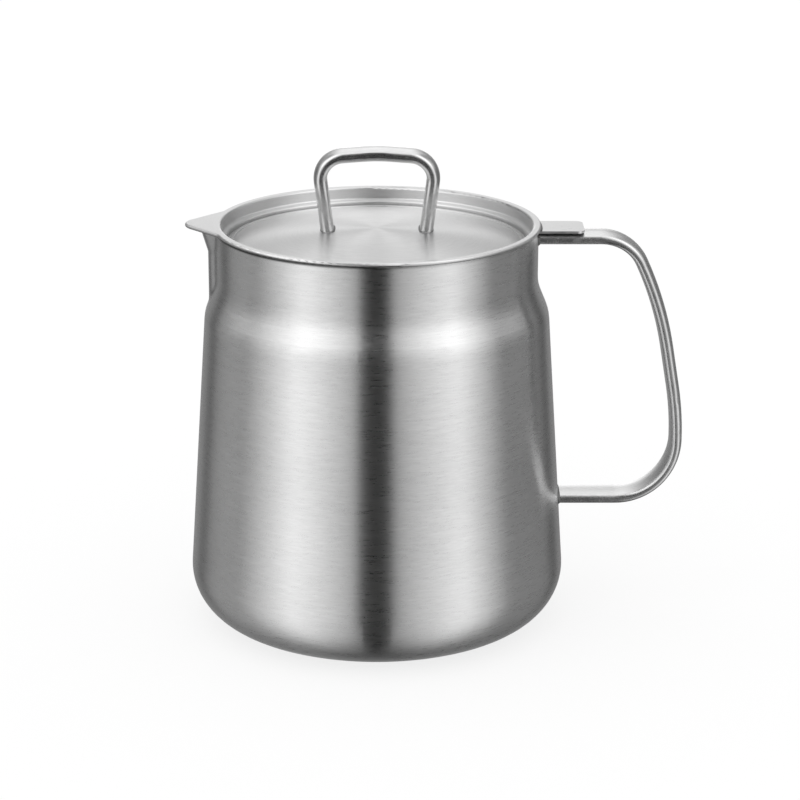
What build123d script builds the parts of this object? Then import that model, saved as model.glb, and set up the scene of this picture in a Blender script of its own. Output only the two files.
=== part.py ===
from build123d import *
import math
import os

# A stainless steel pot for cooking fat, with a drop-in strainer and a lid.
# Millimetres. +Z is up, the table is z = 0, the axis of the pot is the Z axis,
# the handle points along +X and the spout along -X.

# ---- pot: one deep-drawn sheet
POT_WALL = 0.8
POT_HEIGHT = 136.5           # table to the edge of the mouth
NECK_RADIUS = 54.0           # outside of the straight neck
NECK_LENGTH = 19.2           # mouth down to where the neck's line meets the shoulder's slope
SHOULDER_RADIUS = 57.95      # outside, where the shoulder's slope meets the wall's line
SHOULDER_RISE = 9.6          # from there up to where the slope meets the neck's line
BASE_RADIUS = 65.1           # outside, where the wall's line would meet the table
SHOULDER_BEND = 15.0         # radius of both bends of the shoulder
BASE_BEND = 18.2             # radius of the bottom corner
RIM_ROUND = 0.3
STIFFENER_MARGIN = 5.1       # flat base between the bottom corner's bend and the raised ring
STIFFENER_WIDTH = 8.0        # of the ring pressed up into the base
STIFFENER_RISE = 0.6
STIFFENER_BEND = 2.5

# ---- spout: a round channel pressed out of the neck, leaning out at the mouth
SPOUT_RELIEF = 2.5           # ridge of the upright part, beyond the neck
SPOUT_RADIUS = 10.0          # outside of the channel
SPOUT_LEAN = 17.0            # degrees, at the mouth
SPOUT_LEAN_DEPTH = 6.8       # below the mouth, where the ridge starts to lean
SPOUT_LEAN_BEND = 12.0
SPOUT_SINK = 9.7             # the channel ends inside the pot, this far below the shoulder's corner
SPOUT_BLEND = 6.0            # radius between the channel and the neck

# ---- strap handle of the pot
HANDLE_WIDTH = 12.0
HANDLE_EDGE = 2.5            # thickness along the two long edges
HANDLE_CROWN = 1.2           # extra thickness along the middle of the outside
HANDLE_INNER_CROWN = 0.6     # the same on the inside
HANDLE_REACH = 100.6         # axis to the edges of the grip's inner face
HANDLE_WAIST_INSET = 6.5     # of the corner between the two slopes of the grip, from its reach
HANDLE_WAIST_HEIGHT = 109.4
HANDLE_SHOULDER_INSET = 10.4  # of the top corner, from the waist
HANDLE_KNEE_HEIGHT = 71.4    # where the sloping grip turns upright
HANDLE_FOOT_HEIGHT = 43.0    # edges of the lower leg's inner face
HANDLE_TOP_BEND = 14.0
HANDLE_FOOT_BEND = 19.0
HANDLE_GRIP_STRAIGHT = 0.3   # straight stretch left between two bends of the grip

# ---- strainer: flange, stepped recess for the lid, and bowl
SHEET = 0.6                  # sheet of the strainer and its ring
FLANGE_OVERHANG = 0.8        # beyond the neck
FLANGE_HEM = 1.3             # height of the folded edge
HEM_WIDTH = 1.9
PRESS_LAP = 0.1              # flat of the recess's pressing, inside the flange's own sheet
RECESS_CLEARANCE = 0.6       # outside of the recess to the inside of the neck
STEP_DEPTH = 4.1             # below the top of the flange
STEP_WIDTH = 1.5
STEP_DROP = 0.8
SEAT_DEPTH = 6.9             # ledge that carries the lid, below the top of the flange
SEAT_WIDTH = 3.9
BOWL_DEPTH = 42.0            # below the top of the flange
BOWL_TAPER = 3.1             # smaller radius at the bowl's floor than at the ledge
BOWL_BEND = 4.0
BOWL_FLOOR_WIDTH = 11.0      # ring of solid floor round the gauze
PRESS_BEND = 0.8             # tight bends of the recess
HEM_ROUND = 0.6              # almost a half round on the folded edge

# ---- beak of the flange, over the spout
BEAK_LENGTH = 9.2            # beyond the round edge of the flange
BEAK_HALF_ANGLE = 50.0
BEAK_TIP_RADIUS = 7.0
BEAK_BLEND = 5.0

# ---- lifting tab under the edge of the flange
TAB_THICKNESS = 0.8
TAB_WIDTH = 14.5
TAB_LENGTH = 14.3            # beyond the flange
TAB_CORNER = 2.5
TAB_CLEARANCE = 0.3          # to the handle under it
TAB_NECK_GAP = 0.2
TAB_SEAM = 0.5

# ---- gauze and its ring
MESH_THICKNESS = 0.5
MESH_OVERLAP = 1.9           # gauze held under the bowl's floor
MESH_PITCH = 4.4
MESH_HOLE = 3.4
MESH_MARGIN = 0.8            # solid edge inside the opening
RING_CLEARANCE = 0.3         # round the edge of the gauze
RING_LAND = 2.2              # part of the ring that lies on the bowl's floor
SPOT_WELD_COUNT = 8
SPOT_WELD_RADIUS = 0.9
SPOT_WELD_HEIGHT = 0.25

# ---- lid
LID_SHEET = 0.7
LID_CLEARANCE = 0.9          # lid's edge to the recess
LID_BEAD_WIDTH = 1.5
LID_BEAD_HEIGHT = 1.1
LID_BEAD_ROUND = 0.45
LID_CREASE = 0.4             # the dome starts this far below the top of the bead
LID_RISE = 4.4

# ---- strap loop of the lid
LOOP_WIDTH = 10.0
LOOP_EDGE = 2.9
LOOP_CROWN = 1.3
LOOP_INNER_CROWN = 0.3
LOOP_FOOT = 14.7             # middle of the lid to the edge of a leg's inner face, at the lid
LOOP_SHOULDER = 17.6         # middle of the lid to the inner top corner
LOOP_CORNER_HEIGHT = 22.4    # inner top corner above the middle of the lid
LOOP_ARCH = 1.3              # rise of the top bar between its corners
LOOP_BEND = 6.0
LOOP_ARCH_BEND = 60.0

WELD_REACH = 0.8             # weld beads of both straps, along and across the strap
WELD_TOP = 0.05
WELD_SUNK = 0.45             # the bead's foot lies this far under the welded surface
STRAP_EDGE_ROUND = 1.3

# ---- heights and radii that follow from the sizes above
STIFFENER_OUTER = BASE_RADIUS - BASE_BEND - STIFFENER_MARGIN
NECK_CORNER_HEIGHT = POT_HEIGHT - NECK_LENGTH
SHOULDER_HEIGHT = NECK_CORNER_HEIGHT - SHOULDER_RISE
SPOUT_BOTTOM = SHOULDER_HEIGHT - SPOUT_SINK
SPOUT_REACH = NECK_RADIUS + SPOUT_RELIEF
SPOUT_LEAN_HEIGHT = POT_HEIGHT - SPOUT_LEAN_DEPTH
FLANGE_TOP = POT_HEIGHT + FLANGE_HEM
FLANGE_RADIUS = NECK_RADIUS + FLANGE_OVERHANG
RECESS_RADIUS = NECK_RADIUS - POT_WALL - RECESS_CLEARANCE - SHEET
STEP_RADIUS = RECESS_RADIUS - STEP_WIDTH
SEAT_INNER_RADIUS = STEP_RADIUS - SEAT_WIDTH
BOWL_FLOOR_RADIUS = SEAT_INNER_RADIUS - BOWL_TAPER
MESH_OPENING_RADIUS = BOWL_FLOOR_RADIUS - BOWL_FLOOR_WIDTH
BEAK_REACH = FLANGE_RADIUS + BEAK_LENGTH
SEAT_HEIGHT = FLANGE_TOP - SEAT_DEPTH
BOWL_FLOOR = FLANGE_TOP - BOWL_DEPTH
TAB_BOTTOM = POT_HEIGHT - TAB_THICKNESS
HANDLE_TOP = TAB_BOTTOM - TAB_CLEARANCE - HANDLE_CROWN - HANDLE_EDGE
LID_RADIUS = STEP_RADIUS - LID_CLEARANCE
LID_BEAD_TOP = SEAT_HEIGHT + LID_BEAD_HEIGHT
DOME_RADIUS = LID_RADIUS - LID_BEAD_WIDTH / 2
DOME_EDGE_HEIGHT = LID_BEAD_TOP - LID_CREASE
LID_TOP = DOME_EDGE_HEIGHT + LID_RISE
MESH_RADIUS = MESH_OPENING_RADIUS + MESH_OVERLAP
MESH_TOP = BOWL_FLOOR - SHEET
RING_TOP = MESH_TOP - MESH_THICKNESS
RING_JOGGLE = MESH_RADIUS + RING_CLEARANCE
RING_LAND_START = RING_JOGGLE + SHEET

PAST = 4.0                   # how far a cutting form runs past what it cuts
NEAR = 0.01                  # an edge this close to a height or radius lies on it


def pot_form(inset):
    """Solid of revolution inside the pot's outline, set in by inset, running past the mouth."""
    stiffener_inner = STIFFENER_OUTER - STIFFENER_WIDTH
    ramp = STIFFENER_WIDTH / 3
    with BuildSketch(Plane.XZ) as half:
        with BuildLine():
            outline = FilletPolyline(
                (0, 0),
                (stiffener_inner, 0),
                (stiffener_inner + ramp, STIFFENER_RISE),
                (STIFFENER_OUTER - ramp, STIFFENER_RISE),
                (STIFFENER_OUTER, 0),
                (BASE_RADIUS, 0),
                (SHOULDER_RADIUS, SHOULDER_HEIGHT),
                (NECK_RADIUS, NECK_CORNER_HEIGHT),
                (NECK_RADIUS, POT_HEIGHT + PAST),
                radius=[STIFFENER_BEND] * 4 + [BASE_BEND] + [SHOULDER_BEND] * 2,
            )
            mirror(outline, about=Plane.YZ)
            Line((-NECK_RADIUS, POT_HEIGHT + PAST), (NECK_RADIUS, POT_HEIGHT + PAST))
        make_face()
        if inset:
            offset(amount=-inset)
        split(bisect_by=Plane.YZ)
    return revolve(half.sketch, axis=Axis.Z)


def pointed_face(reach, half_angle, tip_radius, root, height):
    """Flat face, pointed with a round tip at x = -reach, ending square at x = -root."""
    angle = math.radians(half_angle)
    apex = reach + tip_radius * (1 / math.sin(angle) - 1)
    half_width = (apex - root) * math.tan(angle)
    with BuildSketch(Plane.XY.offset(height)) as face:
        with BuildLine():
            FilletPolyline((-root, -half_width), (-apex, 0), (-root, half_width), radius=tip_radius)
            Line((-root, half_width), (-root, -half_width))
        make_face()
    return face.sketch


def spout_form(inset):
    """Round channel set in by inset, upright and then leaning out past the mouth."""
    middle = SPOUT_RADIUS - SPOUT_REACH
    top = POT_HEIGHT + PAST
    lean = (top - SPOUT_LEAN_HEIGHT) * math.tan(math.radians(SPOUT_LEAN))
    with BuildLine(Plane.XZ) as path:
        FilletPolyline(
            (middle, SPOUT_BOTTOM),
            (middle, SPOUT_LEAN_HEIGHT),
            (middle - lean, top),
            radius=SPOUT_LEAN_BEND,
        )
    with BuildSketch(Plane(origin=path.wire() @ 0, z_dir=(0, 0, 1))) as section:
        Circle(SPOUT_RADIUS - inset)
    return sweep(section.sketch, path=path.wire())


def neck_form(inset):
    """Pot and channel as one solid, blended where they meet and open past the mouth."""
    solid = pot_form(inset) + spout_form(inset)
    solid = split(solid, bisect_by=Plane.XY.offset(POT_HEIGHT + RIM_ROUND), keep=Keep.BOTTOM)
    beside = [e for e in solid.edges() if (e @ 0.5).X < SPOUT_RADIUS - NECK_RADIUS]
    meeting = [e for e in beside if e.geom_type != GeomType.CIRCLE and (e @ 0.5).Z < POT_HEIGHT]
    return fillet(meeting, SPOUT_BLEND + inset)


def pot_body():
    """Drawn shell: outer form less inner form, cut level at the mouth."""
    shell = neck_form(0) - neck_form(POT_WALL)
    shell = split(shell, bisect_by=Plane.XY.offset(POT_HEIGHT), keep=Keep.BOTTOM)
    rim = [e for e in shell.edges() if abs((e @ 0.5).Z - POT_HEIGHT) < NEAR]
    return fillet(rim, RIM_ROUND)


def strap_face(path, place, width, edge, crown, inner_crown):
    """Section with soft edges at one end of a strap, facing along the strap away from that end.

    place is 0 at the start of the path and 1 at its end. The two long edges of the inner side
    run along the path; both sides are crowned.
    """
    turn = 1 - 2 * place
    plane = Plane(origin=path @ place, x_dir=(0, turn, 0), z_dir=(path % place) * turn)
    half = width / 2
    with BuildSketch(plane) as face:
        with BuildLine():
            Line((-half, edge), (-half, 0))
            ThreePointArc((-half, 0), (0, -inner_crown), (half, 0))
            Line((half, 0), (half, edge))
            ThreePointArc((half, edge), (0, edge + crown), (-half, edge))
        make_face()
        fillet(face.vertices(), STRAP_EDGE_ROUND)
    return face.sketch


def weld_bead(section, surface_gap):
    """Sloping collar of weld metal round a strap, from under the welded surface outwards."""
    out = section.face().normal_at()
    foot = section.moved(Location(out * surface_gap))
    top = section.moved(Location(out * (surface_gap + WELD_REACH)))
    return loft([offset(foot, amount=WELD_REACH), offset(top, amount=WELD_TOP)], ruled=True)


def handle_path():
    """Inner face of the pot's handle, from inside the neck round to inside the lower wall."""
    waist_reach = HANDLE_REACH - HANDLE_WAIST_INSET
    shoulder_reach = waist_reach - HANDLE_SHOULDER_INSET
    upper_rise = HANDLE_TOP - HANDLE_WAIST_HEIGHT
    upper_slope = math.atan2(HANDLE_SHOULDER_INSET, upper_rise)
    lower_slope = math.atan2(HANDLE_WAIST_INSET, HANDLE_WAIST_HEIGHT - HANDLE_KNEE_HEIGHT)
    top_bend_room = HANDLE_TOP_BEND * math.tan((math.pi / 2 - upper_slope) / 2)
    waist_room = math.hypot(HANDLE_SHOULDER_INSET, upper_rise) - top_bend_room - HANDLE_GRIP_STRAIGHT
    knee_room = HANDLE_KNEE_HEIGHT - HANDLE_FOOT_HEIGHT - HANDLE_FOOT_BEND - HANDLE_GRIP_STRAIGHT
    waist_bend = waist_room / math.tan((upper_slope - lower_slope) / 2)
    knee_bend = knee_room / math.tan(lower_slope / 2)
    with BuildLine(Plane.XZ) as path:
        FilletPolyline(
            (NECK_RADIUS - PAST, HANDLE_TOP),
            (shoulder_reach, HANDLE_TOP),
            (waist_reach, HANDLE_WAIST_HEIGHT),
            (HANDLE_REACH, HANDLE_KNEE_HEIGHT),
            (HANDLE_REACH, HANDLE_FOOT_HEIGHT),
            (SHOULDER_RADIUS, HANDLE_FOOT_HEIGHT),
            radius=[HANDLE_TOP_BEND, waist_bend, knee_bend, HANDLE_FOOT_BEND],
        )
    return path.wire()


def handle_section(place):
    return strap_face(handle_path(), place, HANDLE_WIDTH, HANDLE_EDGE, HANDLE_CROWN, HANDLE_INNER_CROWN)


def pot_handle():
    """Crowned strap, trimmed to the outside of the pot."""
    return sweep(handle_section(0), path=handle_path()) - pot_form(0)


def wall_radius(height):
    """Outside radius of the pot's sloping wall at a height."""
    return BASE_RADIUS + (SHOULDER_RADIUS - BASE_RADIUS) * height / SHOULDER_HEIGHT


def handle_weld_beads(handle):
    """Beads at both ends of the handle; the upper one stops below the strap's top face."""
    upper = weld_bead(handle_section(0), PAST - WELD_SUNK)
    upper = split(upper, bisect_by=Plane.XY.offset(HANDLE_TOP + HANDLE_EDGE), keep=Keep.BOTTOM)
    lower_wall = wall_radius(HANDLE_FOOT_HEIGHT - HANDLE_EDGE / 2)
    lower = weld_bead(handle_section(1), lower_wall - SHOULDER_RADIUS - WELD_SUNK)
    return [bead - handle - pot_form(0) for bead in (upper, lower)]


def sheet_of_revolution(points, bends, thickness):
    """Bent sheet turned about the Z axis; the points run inwards and down along its upper face."""
    with BuildSketch(Plane.XZ) as section:
        with BuildLine():
            FilletPolyline(points, radius=bends)
            offset(amount=thickness, side=Side.LEFT)
        make_face()
    return revolve(section.sketch, axis=Axis.Z)


def flange_outline():
    """Plan of the flange: a circle with the beak over the spout, at the top of the flange."""
    root = FLANGE_RADIUS - PAST
    with BuildSketch(Plane.XY.offset(FLANGE_TOP)) as plan:
        Circle(FLANGE_RADIUS)
        add(pointed_face(BEAK_REACH, BEAK_HALF_ANGLE, BEAK_TIP_RADIUS, root, FLANGE_TOP))
        corners = [v for v in plan.vertices() if v.X < -root]
        corners = [v for v in corners if abs(math.hypot(v.X, v.Y) - FLANGE_RADIUS) < NEAR]
        fillet(corners, BEAK_BLEND)
    return plan.sketch


def strainer_bowl():
    """Hemmed flange with its beak, stepped recess and open-floored bowl, from one sheet."""
    outline = flange_outline()
    slab = extrude(outline, amount=-FLANGE_HEM)
    slab = fillet(slab.edges().filter_by(Axis.Z, reverse=True), HEM_ROUND)
    inside_hem = Pos(0, 0, -SHEET) * offset(outline, amount=-HEM_WIDTH)
    hole = Plane.XY.offset(FLANGE_TOP) * Circle(RECESS_RADIUS + PRESS_BEND)
    flange = slab - extrude(inside_hem, amount=-FLANGE_HEM) - extrude(hole, amount=-FLANGE_HEM)
    pressing = sheet_of_revolution(
        [
            (RECESS_RADIUS + PRESS_BEND + PRESS_LAP, FLANGE_TOP),
            (RECESS_RADIUS, FLANGE_TOP),
            (RECESS_RADIUS, FLANGE_TOP - STEP_DEPTH),
            (STEP_RADIUS, FLANGE_TOP - STEP_DEPTH - STEP_DROP),
            (STEP_RADIUS, SEAT_HEIGHT),
            (SEAT_INNER_RADIUS, SEAT_HEIGHT),
            (BOWL_FLOOR_RADIUS, BOWL_FLOOR),
            (MESH_OPENING_RADIUS, BOWL_FLOOR),
        ],
        [PRESS_BEND] * 5 + [BOWL_BEND],
        SHEET,
    )
    return flange + pressing


def strainer_tab():
    """Flat strip welded under the flange's edge, trimmed round the neck."""
    reach = FLANGE_RADIUS + TAB_LENGTH
    with BuildSketch(Plane.XY.offset(TAB_BOTTOM)) as plan:
        with Locations((reach / 2, 0)):
            Rectangle(reach, TAB_WIDTH)
        fillet(plan.vertices().group_by(Axis.X)[-1], TAB_CORNER)
        Circle(NECK_RADIUS + TAB_NECK_GAP, mode=Mode.SUBTRACT)
        split(bisect_by=Plane.YZ)
    return extrude(plan.sketch, amount=TAB_THICKNESS)


def tab_weld_seam():
    """Three-cornered seam along the tab, against the flange's edge."""
    half_turn = math.degrees(math.asin((TAB_WIDTH / 2 - TAB_SEAM) / FLANGE_RADIUS))
    with BuildSketch(Plane.XZ) as section:
        with BuildLine():
            Polyline(
                (FLANGE_RADIUS, POT_HEIGHT),
                (FLANGE_RADIUS + TAB_SEAM, POT_HEIGHT),
                (FLANGE_RADIUS, POT_HEIGHT + TAB_SEAM),
                close=True,
            )
        make_face()
    seam = revolve(section.sketch, axis=Axis.Z, revolution_arc=2 * half_turn)
    return seam.rotate(Axis.Z, -half_turn)


def strainer_mesh():
    """Coarse square gauze with a solid edge, held under the bowl's floor."""
    reach = MESH_OPENING_RADIUS - MESH_MARGIN
    rows = int(reach / MESH_PITCH)
    steps = [MESH_PITCH * k for k in range(-rows, rows + 1)]
    corner = MESH_HOLE / 2
    grid = [(x, y) for x in steps for y in steps]
    holes = [(x, y) for x, y in grid if math.hypot(abs(x) + corner, abs(y) + corner) < reach]
    with BuildSketch(Plane.XY.offset(RING_TOP)) as plan:
        Circle(MESH_RADIUS)
        with Locations(holes):
            Rectangle(MESH_HOLE, MESH_HOLE, mode=Mode.SUBTRACT)
    return extrude(plan.sketch, amount=MESH_THICKNESS)


def mesh_retaining_ring():
    """Pressed ring: its land lies on the bowl's floor, its inner part holds the gauze."""
    return sheet_of_revolution(
        [
            (RING_LAND_START + RING_LAND, MESH_TOP),
            (RING_JOGGLE, MESH_TOP),
            (RING_JOGGLE, RING_TOP),
            (MESH_OPENING_RADIUS, RING_TOP),
        ],
        [0, 0],
        SHEET,
    )


def ring_spot_welds():
    """Low round nuggets under the ring's land."""
    under = (Align.CENTER, Align.CENTER, Align.MAX)
    nugget = Cylinder(SPOT_WELD_RADIUS, SPOT_WELD_HEIGHT, align=under)
    places = PolarLocations(RING_LAND_START + RING_LAND / 2, SPOT_WELD_COUNT)
    return [Pos(0, 0, MESH_TOP - SHEET) * place * nugget for place in places]


def dome_line(drop):
    return TangentArc((0, LID_TOP - drop), (DOME_RADIUS, DOME_EDGE_HEIGHT - drop), tangent=(1, 0))


def under_dome():
    """Everything below the lid's upper face."""
    with BuildSketch(Plane.XZ) as section:
        with BuildLine():
            arc = dome_line(0)
            Polyline(arc @ 1, (DOME_RADIUS, SEAT_HEIGHT), (0, SEAT_HEIGHT), arc @ 0)
        make_face()
    return revolve(section.sketch, axis=Axis.Z)


def lid_disc():
    """Domed sheet with a beaded edge that stands on the recess's ledge."""
    with BuildSketch(Plane.XZ) as section:
        with BuildLine():
            upper = dome_line(0)
            lower = dome_line(LID_SHEET)
            Line(upper @ 0, lower @ 0)
            Line(upper @ 1, lower @ 1)
        make_face()
        with Locations((DOME_RADIUS, SEAT_HEIGHT + LID_BEAD_HEIGHT / 2)):
            RectangleRounded(LID_BEAD_WIDTH, LID_BEAD_HEIGHT, LID_BEAD_ROUND)
    return revolve(section.sketch, axis=Axis.Z)


def loop_lean():
    """How far a leg leans outwards for each millimetre upwards."""
    return (LOOP_SHOULDER - LOOP_FOOT) / LOOP_CORNER_HEIGHT


def loop_path():
    """Inner face of the lid's loop, foot to foot, starting inside the lid."""
    start = LOOP_FOOT - loop_lean() * PAST
    with BuildLine(Plane.XZ) as path:
        FilletPolyline(
            (-start, LID_TOP - PAST),
            (-LOOP_SHOULDER, LID_TOP + LOOP_CORNER_HEIGHT),
            (0, LID_TOP + LOOP_CORNER_HEIGHT + LOOP_ARCH),
            (LOOP_SHOULDER, LID_TOP + LOOP_CORNER_HEIGHT),
            (start, LID_TOP - PAST),
            radius=[LOOP_BEND, LOOP_ARCH_BEND, LOOP_BEND],
        )
    return path.wire()


def loop_section(place):
    return strap_face(loop_path(), place, LOOP_WIDTH, LOOP_EDGE, LOOP_CROWN, LOOP_INNER_CROWN)


def lid_loop():
    """Crowned strap bent into an arch, trimmed to the dome of the lid."""
    return sweep(loop_section(0), path=loop_path()) - under_dome()


def loop_weld_beads(loop):
    """Beads round the two feet of the loop, set by the dome's height under the middle of a leg."""
    middle = LOOP_EDGE / 2
    dome_drop = LID_RISE * ((LOOP_FOOT + middle) / DOME_RADIUS) ** 2
    gap = PAST - dome_drop + loop_lean() * middle - WELD_SUNK
    beads = [weld_bead(loop_section(place), gap) for place in (0, 1)]
    return [bead - loop - under_dome() for bead in beads]


def main():
    os.makedirs("parts", exist_ok=True)
    handle = pot_handle()
    loop = lid_loop()
    nodes = {
        "pot_body": [pot_body()],
        "pot_handle": [handle],
        "handle_weld_beads": handle_weld_beads(handle),
        "strainer_bowl": [strainer_bowl()],
        "strainer_tab": [strainer_tab()],
        "tab_weld_seam": [tab_weld_seam()],
        "strainer_mesh": [strainer_mesh()],
        "mesh_retaining_ring": [mesh_retaining_ring()],
        "ring_spot_welds": ring_spot_welds(),
        "lid_disc": [lid_disc()],
        "lid_loop": [loop],
        "loop_weld_beads": loop_weld_beads(loop),
    }
    for name, shapes in nodes.items():
        solids = [solid for shape in shapes for solid in shape.solids()]
        export_step(Compound(children=solids), f"parts/{name}.step")
        print(name, len(solids), "solid(s)", round(sum(solid.volume for solid in solids), 1), "mm3")


main()
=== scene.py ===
import math

import bmesh
import bpy
from mathutils import Matrix, Vector


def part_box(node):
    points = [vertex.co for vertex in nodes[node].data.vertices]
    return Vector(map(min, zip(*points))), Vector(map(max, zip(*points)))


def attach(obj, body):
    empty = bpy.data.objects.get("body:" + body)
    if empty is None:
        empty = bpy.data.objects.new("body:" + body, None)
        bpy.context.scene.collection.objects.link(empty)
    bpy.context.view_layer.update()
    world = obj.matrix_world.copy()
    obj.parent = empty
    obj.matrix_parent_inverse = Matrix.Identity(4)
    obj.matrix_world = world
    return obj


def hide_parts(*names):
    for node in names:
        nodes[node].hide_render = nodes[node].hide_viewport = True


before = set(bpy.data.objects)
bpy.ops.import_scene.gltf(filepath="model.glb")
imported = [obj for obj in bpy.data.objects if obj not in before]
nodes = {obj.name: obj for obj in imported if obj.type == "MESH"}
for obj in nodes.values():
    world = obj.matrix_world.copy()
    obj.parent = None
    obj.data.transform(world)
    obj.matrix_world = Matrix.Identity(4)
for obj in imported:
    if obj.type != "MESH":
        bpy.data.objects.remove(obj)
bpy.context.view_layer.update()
scene = bpy.context.scene
scene.view_settings.view_transform = "Standard"

# ------------------------------------------------------------------ sizes, in metres
POT_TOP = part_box("pot_body")[1].z
NECK_RADIUS = 0.0540  # outside of the pot's neck
PAINTED_SHADE_DEPTH = 0.0005  # from the neck's outside inwards, where the painted shade ends
PAINTED_SHADE_REACH = 0.035  # to each side of the axis, where the painted shade has its left and right share
PAINTED_SHADE_RIGHT = 0.8  # share of the colour that the painted shade leaves on the side of the handle
GAUZE_LOW, GAUZE_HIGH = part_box("strainer_mesh")
GAUZE_RIM = 0.0002  # of the disc's edge, left free of wires
GAUZE_RADIUS = GAUZE_HIGH.x - GAUZE_RIM
WIRE_RADIUS = 0.00013
WIRE_PITCH = 0.00125
WIRE_CORNERS = 6
WIRE_STEPS = 4  # along one pitch

# ------------------------------------------------------------------ noise, in cycles per metre
# Brushing has two frequencies: along its lines and across them.
FINE_LINES = (330.0, 3400.0)
BANDS = (120.0, 1200.0)
CLOUDS = (16.0, 26.0)
SCRATCHES = (130.0, 2600.0)
WELD_RIPPLES = 1500.0
WELD_STAINS = 260.0
WIRE_MARKS = 3200.0
WIRE_CLOUDS = 60.0
FLOOR_MOTTLE = 40.0
ACROSS_THE_LINES = 0.25  # in full turns: from the brushing's direction to the one where the gloss spreads

# ------------------------------------------------------------------ camera
CAMERA_PLACE = Vector((0.0, -0.8741, 0.3522))
CAMERA_PITCH = math.radians(17.56)
CAMERA_YAW = math.radians(0.514)
CAMERA_ROLL = math.radians(0.13)
CAMERA_LENS = 121.05
SENSOR = 36.0
CAMERA_NEAR = 0.01
CAMERA_FAR = 50.0

# ------------------------------------------------------------------ studio sizes and light
# The tent's light by direction, in degrees: azimuth 0 faces the camera, 90 is the handle's side, 180 is
# behind. A lamp or gap has its azimuth, its reach to the left and to the right, and its strength. A fade has
# the two elevations between which it works, and its share of the light at each.
TENT_RADIUS = 6.0
TENT_HEIGHT = 8.5
TENT_DEPTH = 4.5
TENT_DISC = 0.04  # radius of the small discs that close its floor and top
TENT_SEGMENTS = 96
OBJECT_MIDDLE = 0.07  # height that elevations are measured from
LAMP_PEAK = 0.04  # share of a lamp's reach that is fully lit
BASE_LIGHT = 0.25
LEFT_LAMP = (-53.5, 41, 54, 0.97)
RIGHT_LAMP = (54.5, 55, 34, 0.9)
LEFT_FILL = (-108, 36, 36, 0.12)
FLANK_LAMPS = ((-92, 40, 34, 0.3), (76, 32, 32, 0.35))
FLANK_FADE = (5, 35, 0.0, 1.0)
EDGE_LAMPS = ((-122, 30, 38, 0.2), (115, 40, 35, 0.32))
EDGE_FADE = (4, 18, 0.0, 1.0)
BACK_LAMP = (180, 17, 20, 1.7)
BACK_FADES = ((-14, -2, 0.1, 1.0), (1, 20, 1.0, 0.1))
HIGH_LAMP = (180, 50, 50, 0.42)
HIGH_FADE = (18, 36, 0.15, 1.0)
GAPS = ((-137, 13, 13, 0.5), (140, 13, 13, 0.6))
UPWARD_FADE = (2, 32, 1.0, 1.6)
DOWNWARD_FADE = (-80, -35, 0.2, 1.0)
SLOT_MIDDLE = -1
SLOT_DARK = 7.5  # half width of the dark slot in front of the camera
SLOT_EDGE = 14  # half width where the tent is fully lit again
SLOT_LIGHT = 0.035
CAP_LEAN = 15  # of the overhead cap, from upright, away from the camera
CAP_FULL = 18  # from the cap's middle, where it is fully lit
CAP_EDGE = 36  # from the cap's middle, where it has faded out
CAP_LIGHT = 1.2
SUN_WIDTH = 70
SUN_STRENGTH = 0.35
SUN_TILT = (14, -12)
FLOOR_HALF = 8.0
FLOOR_DROP = 0.0002  # under the pot's base
FLOOR_SHADE = 0.22  # share of the shadow that the picture keeps


def add_camera():
    data = bpy.data.cameras.new("camera")
    data.sensor_width = SENSOR
    data.sensor_fit = "HORIZONTAL"
    data.lens = CAMERA_LENS
    data.clip_start = CAMERA_NEAR
    data.clip_end = CAMERA_FAR
    camera = bpy.data.objects.new("camera", data)
    scene.collection.objects.link(camera)
    turn = Matrix.Rotation(-CAMERA_YAW, 4, "Z") @ Matrix.Rotation(math.pi / 2 - CAMERA_PITCH, 4, "X")
    camera.matrix_world = Matrix.Translation(CAMERA_PLACE) @ turn @ Matrix.Rotation(CAMERA_ROLL, 4, "Z")
    scene.camera = camera


def mesh_object(name, mesh):
    """Object of a finished bmesh, placed in the scene."""
    data = bpy.data.meshes.new(name)
    mesh.to_mesh(data)
    mesh.free()
    piece = bpy.data.objects.new(name, data)
    scene.collection.objects.link(piece)
    return piece


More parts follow.
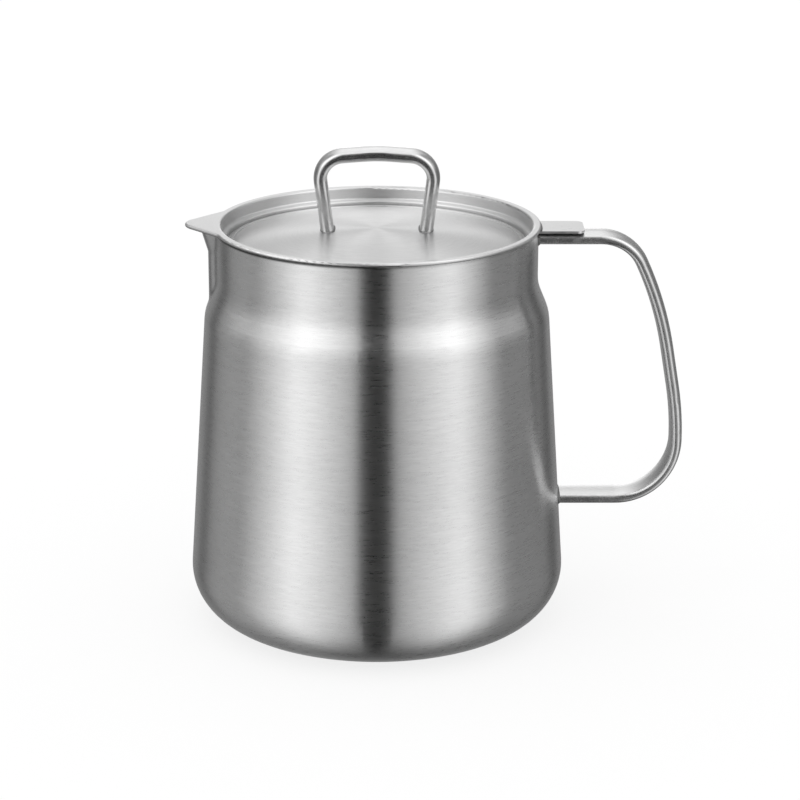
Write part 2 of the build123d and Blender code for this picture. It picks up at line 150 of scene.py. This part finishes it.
# ------------------------------------------------------------------ node helpers
class Tree:
    """Short names for building one material's nodes."""

    def __init__(self, name):
        self.material = bpy.data.materials.new(name)
        self.material.use_nodes = True
        self.nodes = self.material.node_tree.nodes
        self.links = self.material.node_tree.links
        self.nodes.clear()
        self.output = self.nodes.new("ShaderNodeOutputMaterial")

    def put(self, socket, value):
        if isinstance(value, bpy.types.NodeSocket):
            self.links.new(value, socket)
        else:
            socket.default_value = value

    def math(self, operation, *values):
        node = self.nodes.new("ShaderNodeMath")
        node.operation = operation
        for socket, value in zip(node.inputs, values):
            self.put(socket, value)
        return node.outputs[0]

    def add(self, first, second):
        return self.math("ADD", first, second)

    def times(self, first, second):
        return self.math("MULTIPLY", first, second)

    def object_xyz(self):
        coords = self.nodes.new("ShaderNodeTexCoord")
        split = self.nodes.new("ShaderNodeSeparateXYZ")
        self.links.new(coords.outputs["Object"], split.inputs[0])
        return split.outputs[0], split.outputs[1], split.outputs[2]

    def radius(self, x, y):
        return self.math("SQRT", self.add(self.times(x, x), self.times(y, y)))

    def vector(self, x, y, z):
        node = self.nodes.new("ShaderNodeCombineXYZ")
        for socket, value in zip(node.inputs, (x, y, z)):
            self.put(socket, value)
        return node.outputs[0]

    def noise(self, vector, detail=2.0, roughness=0.5, fourth=None):
        node = self.nodes.new("ShaderNodeTexNoise")
        if fourth is not None:
            node.noise_dimensions = "4D"
            self.links.new(fourth, node.inputs["W"])
        self.links.new(vector, node.inputs["Vector"])
        node.inputs["Scale"].default_value = 1.0
        node.inputs["Detail"].default_value = detail
        node.inputs["Roughness"].default_value = roughness
        return node.outputs["Fac"]

    def mottle(self, frequency):
        """Noise that is alike in all directions, in cycles per metre."""
        return self.noise(self.vector(*(self.times(axis, frequency) for axis in self.object_xyz())))

    def span(self, value, low, high, to_low, to_high, smooth=False):
        node = self.nodes.new("ShaderNodeMapRange")
        if smooth:
            node.interpolation_type = "SMOOTHSTEP"
        self.put(node.inputs["Value"], value)
        self.put(node.inputs["From Min"], low)
        self.put(node.inputs["From Max"], high)
        self.put(node.inputs["To Min"], to_low)
        self.put(node.inputs["To Max"], to_high)
        return node.outputs["Result"]

    def tint(self, factor, dark, light):
        node = self.nodes.new("ShaderNodeMix")
        node.data_type = "RGBA"
        self.links.new(factor, node.inputs["Factor"])
        node.inputs["A"].default_value = (*dark, 1.0)
        node.inputs["B"].default_value = (*light, 1.0)
        return node.outputs["Result"]

    def dim(self, colour, factor):
        node = self.nodes.new("ShaderNodeVectorMath")
        node.operation = "SCALE"
        self.links.new(colour, node.inputs["Vector"])
        self.links.new(factor, node.inputs["Scale"])
        return node.outputs["Vector"]

    def bump(self, height, distance):
        node = self.nodes.new("ShaderNodeBump")
        node.inputs["Distance"].default_value = distance
        node.inputs["Strength"].default_value = 1.0
        self.links.new(height, node.inputs["Height"])
        return node.outputs["Normal"]

    def metal(self, colour, roughness, normal):
        """Metal shader, linked to the material's output."""
        shader = self.nodes.new("ShaderNodeBsdfPrincipled")
        shader.inputs["Metallic"].default_value = 1.0
        self.put(shader.inputs["Base Color"], colour)
        self.put(shader.inputs["Roughness"], roughness)
        self.put(shader.inputs["Normal"], normal)
        self.surface(shader)
        return shader

    def surface(self, shader):
        self.links.new(shader.outputs[0], self.output.inputs["Surface"])


def grey(value):
    return (value, value, value)


def grain(tree, lay, frequencies, detail, roughness):
    """Noise drawn out along the brushing, which runs round the axis or along a strap."""
    along, across = frequencies
    x, y, z = tree.object_xyz()
    if lay == "turned":
        vector = tree.vector(tree.times(x, along), tree.times(y, along), tree.times(z, across))
        return tree.noise(vector, detail, roughness, tree.times(tree.radius(x, y), across))
    vector = tree.vector(tree.times(x, along), tree.times(y, across), tree.times(z, along))
    return tree.noise(vector, detail, roughness)


def brushing_direction(tree, lay, middle):
    """Tangent along the brushing, from the lay or from the middle that a strap bends around."""
    if middle is None:
        tangent = tree.nodes.new("ShaderNodeTangent")
        tangent.direction_type = "RADIAL"
        tangent.axis = "Z" if lay == "turned" else "Y"
        return tangent.outputs[0]
    x, y, z = tree.object_xyz()
    return tree.vector(tree.math("SUBTRACT", z, middle[1]), 0.0, tree.math("SUBTRACT", middle[0], x))


def painted_gap_shade(tree, shade_darkest, shade_gone, left):
    """Painted shade in the gap where flange and neck meet: the share of the colour that is left, least on the
    side of the spout.
    """
    x, y, z = tree.object_xyz()
    # painted shade: the colour darkens towards the crevice between flange and neck, most on the spout's side
    gap_shade_share = tree.span(x, -PAINTED_SHADE_REACH, PAINTED_SHADE_REACH, left, PAINTED_SHADE_RIGHT, smooth=True)
    shade_by_height = tree.span(z, shade_darkest, shade_gone, gap_shade_share, 1.0, smooth=True)
    inside = tree.span(tree.radius(x, y), NECK_RADIUS - PAINTED_SHADE_DEPTH, NECK_RADIUS, 1.0, 0.0)
    return tree.math("MAXIMUM", shade_by_height, inside)


def brushed_metal(name, lay, greys, rough, spread, anisotropy, middle=None, crevice=None, relief=0.00001):
    """Brushed sheet: fine lines, broader bands, cloudiness, a few scratches, and painted shade where a
    crevice opens.

    The lay is "turned", round the pot's axis, or "straight". The greys are the darkest and the lightest.
    A strap brushed along its length gives the x and z that its path bends around as its middle.
    A crevice's painted shade is given by the height where it is darkest, the height where the sheet is
    unshaded again, and the share of the colour that the painted shade leaves on the side of the spout.
    """
    tree = Tree(name)
    fine = grain(tree, lay, FINE_LINES, 3.0, 0.6)
    bands = grain(tree, lay, BANDS, 2.0, 0.5)
    clouds = grain(tree, lay, CLOUDS, 3.0, 0.55)
    scratches = grain(tree, lay, SCRATCHES, 1.0, 0.4)
    deep = tree.span(scratches, 0.68, 0.76, 0.0, 1.0)
    streaks = tree.add(tree.times(fine, 0.65), tree.times(bands, 0.35))
    shade = tree.add(tree.times(streaks, 0.7), tree.times(clouds, 0.3))
    colour = tree.tint(tree.span(shade, 0.35, 0.65, 0.0, 1.0), grey(greys[0]), grey(greys[1]))
    # painted shade: the colour is darkened in the crevice between flange and neck
    if crevice is not None:
        colour = tree.dim(colour, painted_gap_shade(tree, *crevice))
    roughness = tree.span(streaks, 0.3, 0.7, rough - spread, rough + spread)
    roughness = tree.add(roughness, tree.times(deep, 0.06))
    lines = tree.math("SUBTRACT", streaks, tree.times(deep, 0.7))
    shader = tree.metal(colour, roughness, tree.bump(lines, relief))
    shader.inputs["Anisotropic"].default_value = anisotropy
    shader.inputs["Anisotropic Rotation"].default_value = ACROSS_THE_LINES
    tree.links.new(brushing_direction(tree, lay, middle), shader.inputs["Tangent"])
    return tree.material


def weld_metal():
    """Weld metal with small ripples, duller than the sheet; its dark grey is partly the weld's own tone and
    partly painted shade for the contact lines at the handle's feet.
    """
    tree = Tree("weld_metal")
    ripples = tree.mottle(WELD_RIPPLES)
    # painted shade: the weld's dark grey also stands in for the shadow where the handle's legs meet the body
    colour = tree.tint(tree.mottle(WELD_STAINS), grey(0.16), grey(0.34))
    tree.metal(colour, tree.span(ripples, 0.3, 0.7, 0.28, 0.48), tree.bump(ripples, 0.00008))
    return tree.material


def wire_metal():
    """Drawn wire: bright, with faint marks."""
    tree = Tree("wire_gauze")
    marks = tree.mottle(WIRE_MARKS)
    colour = tree.tint(tree.mottle(WIRE_CLOUDS), (0.48, 0.47, 0.45), (0.66, 0.65, 0.64))
    tree.metal(colour, tree.span(marks, 0.3, 0.7, 0.22, 0.4), tree.bump(marks, 0.00001))
    return tree.material


# ------------------------------------------------------------------ woven wire gauze
def wire(mesh, start, end, phase):
    """One wire of the gauze, waving over and under the wires that cross it."""
    span = end - start
    steps = max(WIRE_STEPS, int(span.length / WIRE_PITCH * WIRE_STEPS))
    side = Vector((-span.y, span.x, 0)).normalized()
    rings = []
    for k in range(steps + 1):
        place = start.lerp(end, k / steps)
        along = place.dot(span.normalized())
        wave = math.cos(math.pi * (along / WIRE_PITCH + phase))
        centre = place + Vector((0, 0, wave * WIRE_RADIUS))
        ring = []
        for corner in range(WIRE_CORNERS):
            turn = math.tau * corner / WIRE_CORNERS
            out = centre + side * (WIRE_RADIUS * math.cos(turn))
            ring.append(mesh.verts.new(out + Vector((0, 0, WIRE_RADIUS * math.sin(turn)))))
        rings.append(ring)
    for near, far in zip(rings, rings[1:]):
        for corner in range(WIRE_CORNERS):
            after = (corner + 1) % WIRE_CORNERS
            mesh.faces.new((near[corner], near[after], far[after], far[corner]))
    mesh.faces.new(list(reversed(rings[0])))
    mesh.faces.new(rings[-1])


def gauze():
    """Plain weave, square mesh, cut round, pressed at its edge between bowl floor and ring."""
    mesh = bmesh.new()
    middle = (GAUZE_LOW.z + GAUZE_HIGH.z) / 2
    count = int(GAUZE_RADIUS / WIRE_PITCH)
    for k in range(-count, count + 1):
        offset = k * WIRE_PITCH
        half = math.sqrt(GAUZE_RADIUS**2 - offset**2)
        if half < WIRE_PITCH:
            continue
        wire(mesh, Vector((-half, offset, middle)), Vector((half, offset, middle)), k)
        wire(mesh, Vector((offset, -half, middle)), Vector((offset, half, middle)), k + 1)
    mesh.normal_update()
    piece = mesh_object("strainer_gauze", mesh)
    piece.data.polygons.foreach_set("use_smooth", [True] * len(piece.data.polygons))
    return piece


# ------------------------------------------------------------------ light and floor
def signed_angle(tree, azimuth, centre):
    """Angle in radians from a centre to an azimuth, from minus half a turn to half a turn."""
    turn = tree.math("SUBTRACT", azimuth, math.radians(centre))
    return tree.math("ARCTAN2", tree.math("SINE", turn), tree.math("COSINE", turn))


def hump(tree, azimuth, centre, left, right, height, smooth):
    """Light that peaks at a centre and fades to nothing left and right of it, all in degrees."""
    away = signed_angle(tree, azimuth, centre)
    to_right = tree.math("DIVIDE", away, math.radians(right))
    to_left = tree.math("DIVIDE", away, -math.radians(left))
    return tree.span(tree.math("MAXIMUM", to_right, to_left), LAMP_PEAK, 1.0, height, 0.0, smooth)


def tent_light():
    """Light tent: bright to the left and right of the camera, dark in the slot the camera looks through."""
    tree = Tree("studio_tent")
    x, y, z = tree.object_xyz()
    azimuth = tree.math("ARCTAN2", x, tree.times(y, -1.0))
    rise = tree.math("SUBTRACT", z, OBJECT_MIDDLE)
    elevation = tree.math("ARCTAN2", rise, tree.radius(x, y))

    def lamp(shape, smooth=True):
        return hump(tree, azimuth, *shape, smooth)

    def both(shapes):
        return tree.add(lamp(shapes[0]), lamp(shapes[1]))

    def fade(low, high, at_low, at_high):
        return tree.span(elevation, math.radians(low), math.radians(high), at_low, at_high, smooth=True)

    back = lamp(BACK_LAMP)
    for shape in BACK_FADES:
        back = tree.times(back, fade(*shape))
    light = tree.add(BASE_LIGHT, lamp(LEFT_LAMP, smooth=False))
    for more in (
        lamp(RIGHT_LAMP, smooth=False),
        lamp(LEFT_FILL),
        tree.times(both(FLANK_LAMPS), fade(*FLANK_FADE)),
        tree.times(both(EDGE_LAMPS), fade(*EDGE_FADE)),
        back,
        tree.times(lamp(HIGH_LAMP), fade(*HIGH_FADE)),
    ):
        light = tree.add(light, more)
    from_slot = tree.math("ABSOLUTE", signed_angle(tree, azimuth, SLOT_MIDDLE))
    for share in (
        *(tree.math("SUBTRACT", 1.0, lamp(gap)) for gap in GAPS),
        tree.span(from_slot, math.radians(SLOT_DARK), math.radians(SLOT_EDGE), SLOT_LIGHT, 1.0, smooth=True),
        fade(*UPWARD_FADE),
        fade(*DOWNWARD_FADE),
    ):
        light = tree.times(light, share)

    lean = math.radians(CAP_LEAN)
    overhead = tree.add(tree.times(y, math.sin(lean)), tree.times(rise, math.cos(lean)))
    overhead = tree.math("DIVIDE", overhead, tree.radius(rise, tree.radius(x, y)))
    edge, full = math.cos(math.radians(CAP_EDGE)), math.cos(math.radians(CAP_FULL))
    cap = tree.span(overhead, edge, full, 0.0, 1.0, smooth=True)
    light = tree.add(light, tree.times(cap, tree.math("SUBTRACT", CAP_LIGHT, light)))
    glow = tree.nodes.new("ShaderNodeEmission")
    tree.put(glow.inputs["Strength"], light)
    tree.surface(glow)
    tree.material.cycles.emission_sampling = "NONE"
    return tree.material


def studio_tent():
    """Closed round tent, so large that every part of the object sees the same light in the same direction."""
    mesh = bmesh.new()
    rows = []
    top = TENT_HEIGHT * 1.35
    profile = (
        (TENT_DISC, -TENT_DEPTH),
        (TENT_RADIUS * 0.5, -TENT_DEPTH),
        (TENT_RADIUS * 0.92, -TENT_DEPTH * 0.75),
        (TENT_RADIUS, -TENT_DEPTH * 0.4),
        (TENT_RADIUS, TENT_HEIGHT),
        (TENT_RADIUS * 0.5, top),
        (TENT_DISC, top),
    )
    for radius, z in profile:
        turns = [math.tau * k / TENT_SEGMENTS for k in range(TENT_SEGMENTS)]
        rows.append([mesh.verts.new((radius * math.sin(a), -radius * math.cos(a), z)) for a in turns])
    for low, high in zip(rows, rows[1:]):
        for k in range(TENT_SEGMENTS):
            after = (k + 1) % TENT_SEGMENTS
            mesh.faces.new((low[k], low[after], high[after], high[k]))
    mesh.faces.new(list(reversed(rows[0])))
    mesh.faces.new(rows[-1])
    tent = mesh_object("studio_tent", mesh)
    tent.data.materials.append(tent_light())
    tent.visible_camera = False
    tent.visible_diffuse = False
    tent.visible_transmission = False
    tent.visible_shadow = False


def floor_material():
    """White table top whose picture keeps only a share of the shadow that falls on it."""
    tree = Tree("floor_white")
    surface = tree.nodes.new("ShaderNodeBsdfDiffuse")
    tree.put(surface.inputs["Color"], tree.tint(tree.mottle(FLOOR_MOTTLE), grey(0.93), grey(0.95)))
    white = tree.nodes.new("ShaderNodeEmission")
    white.inputs["Strength"].default_value = 1.0
    path = tree.nodes.new("ShaderNodeLightPath")
    mix = tree.nodes.new("ShaderNodeMixShader")
    tree.put(mix.inputs[0], tree.times(path.outputs["Is Camera Ray"], 1.0 - FLOOR_SHADE))
    tree.links.new(surface.outputs[0], mix.inputs[1])
    tree.links.new(white.outputs[0], mix.inputs[2])
    tree.surface(mix)
    return tree.material


def studio_floor():
    mesh = bmesh.new()
    bmesh.ops.create_grid(mesh, x_segments=1, y_segments=1, size=FLOOR_HALF)
    floor = mesh_object("floor", mesh)
    floor.location = (0, 0, -FLOOR_DROP)
    floor.visible_glossy = False
    floor.data.materials.append(floor_material())


def studio_world():
    world = bpy.data.worlds.new("studio")
    scene.world = world
    world.use_nodes = True
    background = world.node_tree.nodes["Background"]
    background.inputs["Color"].default_value = (1, 1, 1, 1)
    background.inputs["Strength"].default_value = 1.0


def studio_lamp():
    """Broad overhead light for the floor's soft shadow."""
    data = bpy.data.lights.new("key", "SUN")
    data.angle = math.radians(SUN_WIDTH)
    data.energy = SUN_STRENGTH
    lamp = bpy.data.objects.new("key", data)
    lamp.rotation_euler = (math.radians(SUN_TILT[0]), math.radians(SUN_TILT[1]), 0)
    lamp.visible_glossy = False
    scene.collection.objects.link(lamp)


# ------------------------------------------------------------------ put together
add_camera()
studio_world()
studio_floor()
studio_tent()
studio_lamp()

# The crevice values of pot_steel and strainer_steel paint shade into the gap between the flange and the neck.
pot_steel = brushed_metal(
    "pot_steel", "turned", greys=(0.59, 0.73), rough=0.29, spread=0.04, anisotropy=0.89,
    crevice=(POT_TOP - 0.0003, POT_TOP - 0.0011, 0.05), relief=0.000005,
)
strainer_steel = brushed_metal(
    "strainer_steel", "turned", greys=(0.63, 0.70), rough=0.36, spread=0.03, anisotropy=0.4,
    crevice=(POT_TOP + 0.0002, POT_TOP + 0.0006, 0.35), relief=0.000002,
)
lid_steel = brushed_metal("lid_steel", "turned", greys=(0.62, 0.74), rough=0.34, spread=0.05, anisotropy=0.9)
tab_steel = brushed_metal(
    "tab_steel", "straight", greys=(0.61, 0.70), rough=0.30, spread=0.04, anisotropy=0.3, relief=0.000003
)
handle_steel = brushed_metal(
    "polished_strap", "straight", greys=(0.64, 0.74), rough=0.26, spread=0.03, anisotropy=0.55,
    middle=(0.062, 0.086),
)
loop_steel = brushed_metal(
    "polished_loop", "straight", greys=(0.64, 0.74), rough=0.22, spread=0.03, anisotropy=0.5,
    middle=(0.0, 0.146),
)
welds = weld_metal()
wires = wire_metal()

finishes = {
    "pot_body": pot_steel,
    "pot_handle": handle_steel,
    "handle_weld_beads": welds,
    "strainer_bowl": strainer_steel,
    "strainer_tab": tab_steel,
    "tab_weld_seam": welds,
    "strainer_mesh": wires,
    "mesh_retaining_ring": strainer_steel,
    "ring_spot_welds": welds,
    "lid_disc": lid_steel,
    "lid_loop": loop_steel,
    "loop_weld_beads": welds,
}
for node, finish in finishes.items():
    nodes[node].data.materials.clear()
    nodes[node].data.materials.append(finish)

gauze_piece = gauze()
gauze_piece.data.materials.append(wires)
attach(gauze_piece, "strainer")
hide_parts("strainer_mesh")
